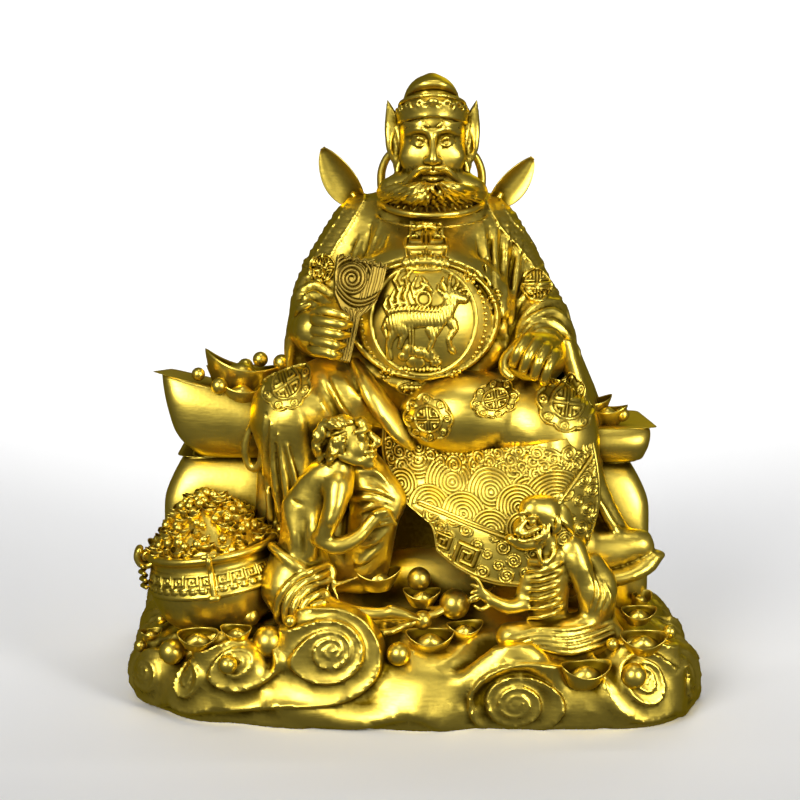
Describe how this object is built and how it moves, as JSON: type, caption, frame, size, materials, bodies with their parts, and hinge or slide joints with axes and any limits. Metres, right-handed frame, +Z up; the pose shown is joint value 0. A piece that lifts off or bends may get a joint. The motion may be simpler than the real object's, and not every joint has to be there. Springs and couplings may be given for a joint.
{
  "type": "seated guardian ornament",
  "caption": "Cast brass desk ornament: a bearded official in a robe on a rolled seat, with two small demons, a pot of treasure, and a base of curling clouds",
  "frame": {"origin": "on the underside, under the middle of the base", "axes": "+X to the viewer's right, -Y the way the figure faces, +Z up"},
  "size_m": [0.359, 0.2659, 0.38],
  "materials": {
    "polished_brass": "polished casting, darker in the recesses",
    "aged_brass": "darkened and duller than the casting"
  },
  "bodies": {
    "root": {"figure_casting": "polished_brass", "folded_fan": "aged_brass"}
  },
  "joints": []
}
